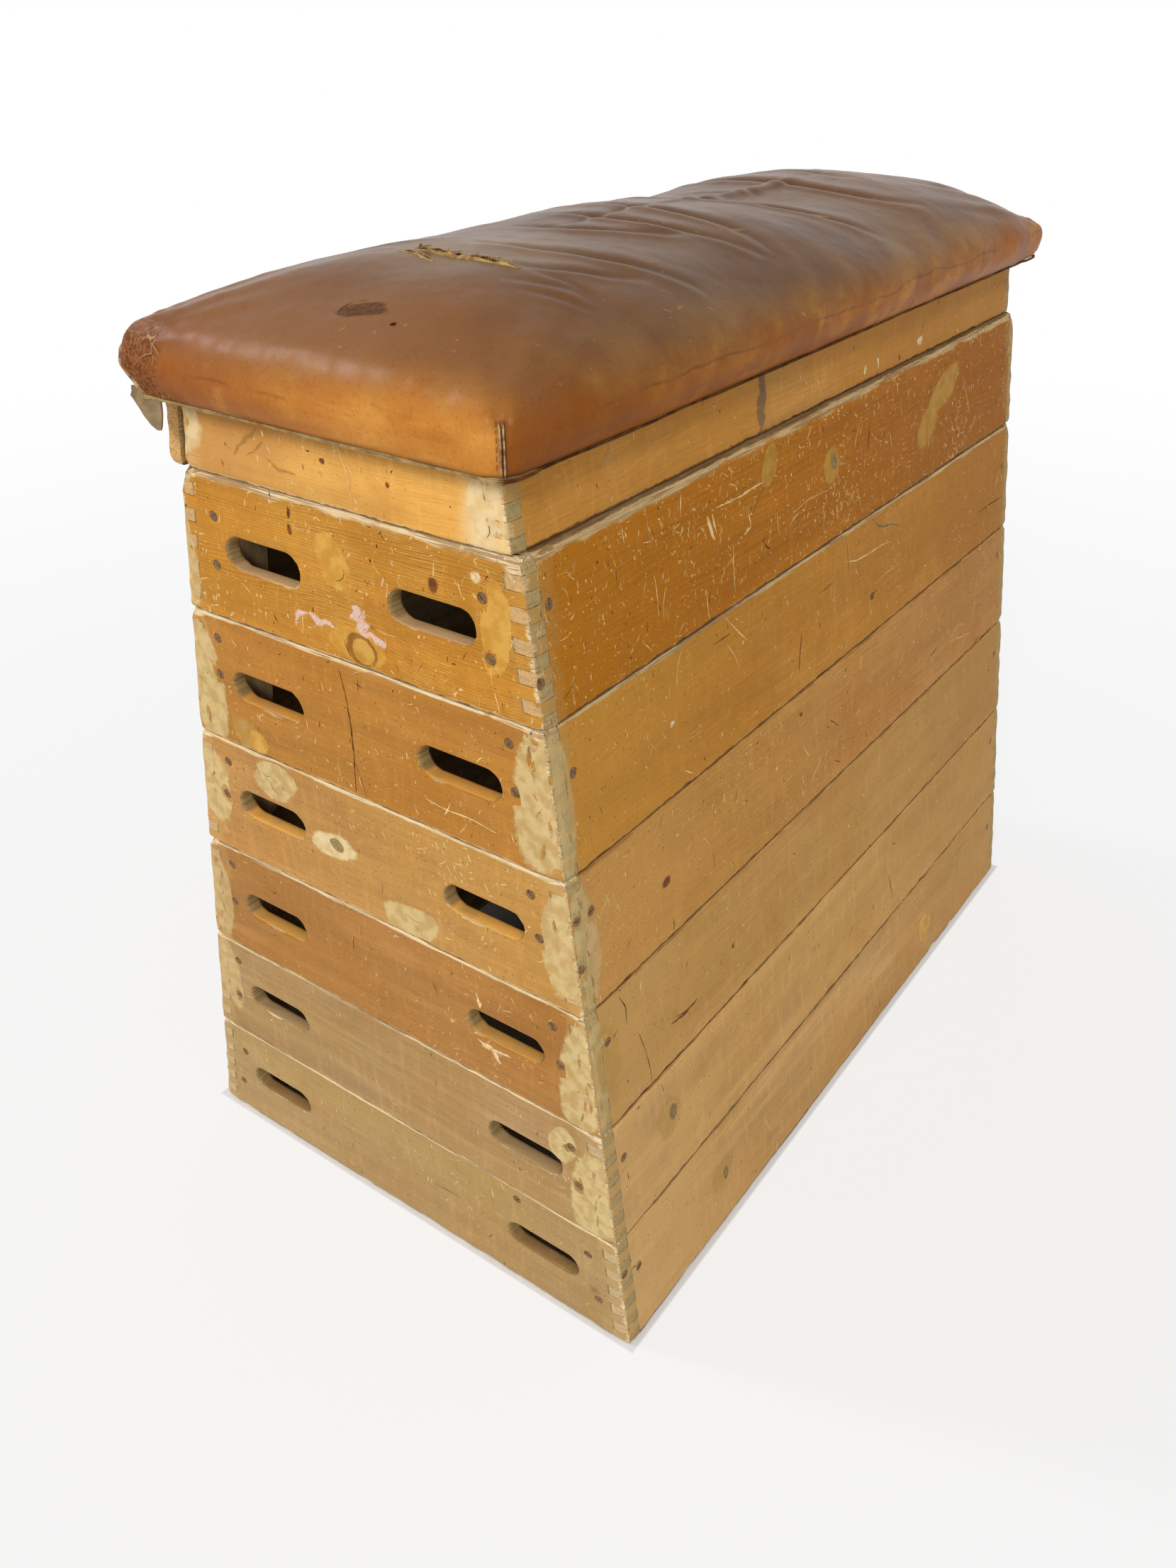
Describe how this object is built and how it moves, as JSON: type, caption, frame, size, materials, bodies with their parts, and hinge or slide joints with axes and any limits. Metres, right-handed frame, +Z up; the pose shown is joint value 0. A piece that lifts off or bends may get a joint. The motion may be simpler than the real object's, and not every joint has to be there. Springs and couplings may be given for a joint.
{
  "type": "vaulting box",
  "caption": "Tapered wooden vaulting box of stacked hand-hole tiers under a padded leather-covered lid, for gymnastics.",
  "frame": {"origin": "on the floor, under the middle of the base", "axes": "+Z up, +X along the box towards the end that the picture doesn't show, +Y across it towards the long side that the picture doesn't show"},
  "size_m": [1.484, 0.8072, 1.3267],
  "materials": {
    "tier_1_wood": "worn varnish",
    "tier_2_wood": "worn varnish",
    "tier_3_wood": "worn varnish",
    "tier_4_wood": "worn varnish",
    "tier_5_wood": "worn varnish",
    "tier_6_wood": "worn varnish",
    "lid_wood": "worn varnish",
    "deck_wood": "bare",
    "post_wood": "bare",
    "stuffing": "rough",
    "leather": "worn, half glossy"
  },
  "bodies": {
    "tier_1": {"tier_1_end_left": "tier_1_wood", "tier_1_post_left_front": "post_wood", "tier_1_post_left_back": "post_wood", "tier_1_end_right": "tier_1_wood", "tier_1_post_right_front": "post_wood", "tier_1_post_right_back": "post_wood", "tier_1_side_front": "tier_1_wood", "tier_1_side_back": "tier_1_wood"},
    "tier_2": {"tier_2_end_left": "tier_2_wood", "tier_2_post_left_front": "post_wood", "tier_2_post_left_back": "post_wood", "tier_2_end_right": "tier_2_wood", "tier_2_post_right_front": "post_wood", "tier_2_post_right_back": "post_wood", "tier_2_side_front": "tier_2_wood", "tier_2_side_back": "tier_2_wood"},
    "tier_3": {"tier_3_end_left": "tier_3_wood", "tier_3_post_left_front": "post_wood", "tier_3_post_left_back": "post_wood", "tier_3_end_right": "tier_3_wood", "tier_3_post_right_front": "post_wood", "tier_3_post_right_back": "post_wood", "tier_3_side_front": "tier_3_wood", "tier_3_side_back": "tier_3_wood"},
    "tier_4": {"tier_4_end_left": "tier_4_wood", "tier_4_post_left_front": "post_wood", "tier_4_post_left_back": "post_wood", "tier_4_end_right": "tier_4_wood", "tier_4_post_right_front": "post_wood", "tier_4_post_right_back": "post_wood", "tier_4_side_front": "tier_4_wood", "tier_4_side_back": "tier_4_wood"},
    "tier_5": {"tier_5_end_left": "tier_5_wood", "tier_5_post_left_front": "post_wood", "tier_5_post_left_back": "post_wood", "tier_5_end_right": "tier_5_wood", "tier_5_post_right_front": "post_wood", "tier_5_post_right_back": "post_wood", "tier_5_side_front": "tier_5_wood", "tier_5_side_back": "tier_5_wood"},
    "tier_6": {"tier_6_end_left": "tier_6_wood", "tier_6_post_left_front": "post_wood", "tier_6_post_left_back": "post_wood", "tier_6_end_right": "tier_6_wood", "tier_6_post_right_front": "post_wood", "tier_6_post_right_back": "post_wood", "tier_6_side_front": "tier_6_wood", "tier_6_side_back": "tier_6_wood"},
    "lid": {"lid_end_left": "lid_wood", "lid_post_left_front": "post_wood", "lid_post_left_back": "post_wood", "lid_end_right": "lid_wood", "lid_post_right_front": "post_wood", "lid_post_right_back": "post_wood", "lid_side_front": "lid_wood", "lid_side_back": "lid_wood", "deck_board": "deck_wood", "padding": "stuffing", "leather_cover": "leather"}
  },
  "joints": [
    {"name": "tier_2_lift", "type": "slide", "parent": "tier_1", "child": "tier_2", "axis": [0, 0, 1], "range_m": [0, 0.15]},
    {"name": "tier_3_lift", "type": "slide", "parent": "tier_2", "child": "tier_3", "axis": [0, 0, 1], "range_m": [0, 0.15]},
    {"name": "tier_4_lift", "type": "slide", "parent": "tier_3", "child": "tier_4", "axis": [0, 0, 1], "range_m": [0, 0.15]},
    {"name": "tier_5_lift", "type": "slide", "parent": "tier_4", "child": "tier_5", "axis": [0, 0, 1], "range_m": [0, 0.15]},
    {"name": "tier_6_lift", "type": "slide", "parent": "tier_5", "child": "tier_6", "axis": [0, 0, 1], "range_m": [0, 0.15]},
    {"name": "lid_lift", "type": "slide", "parent": "tier_6", "child": "lid", "axis": [0, 0, 1], "range_m": [0, 0.15]}
  ]
}
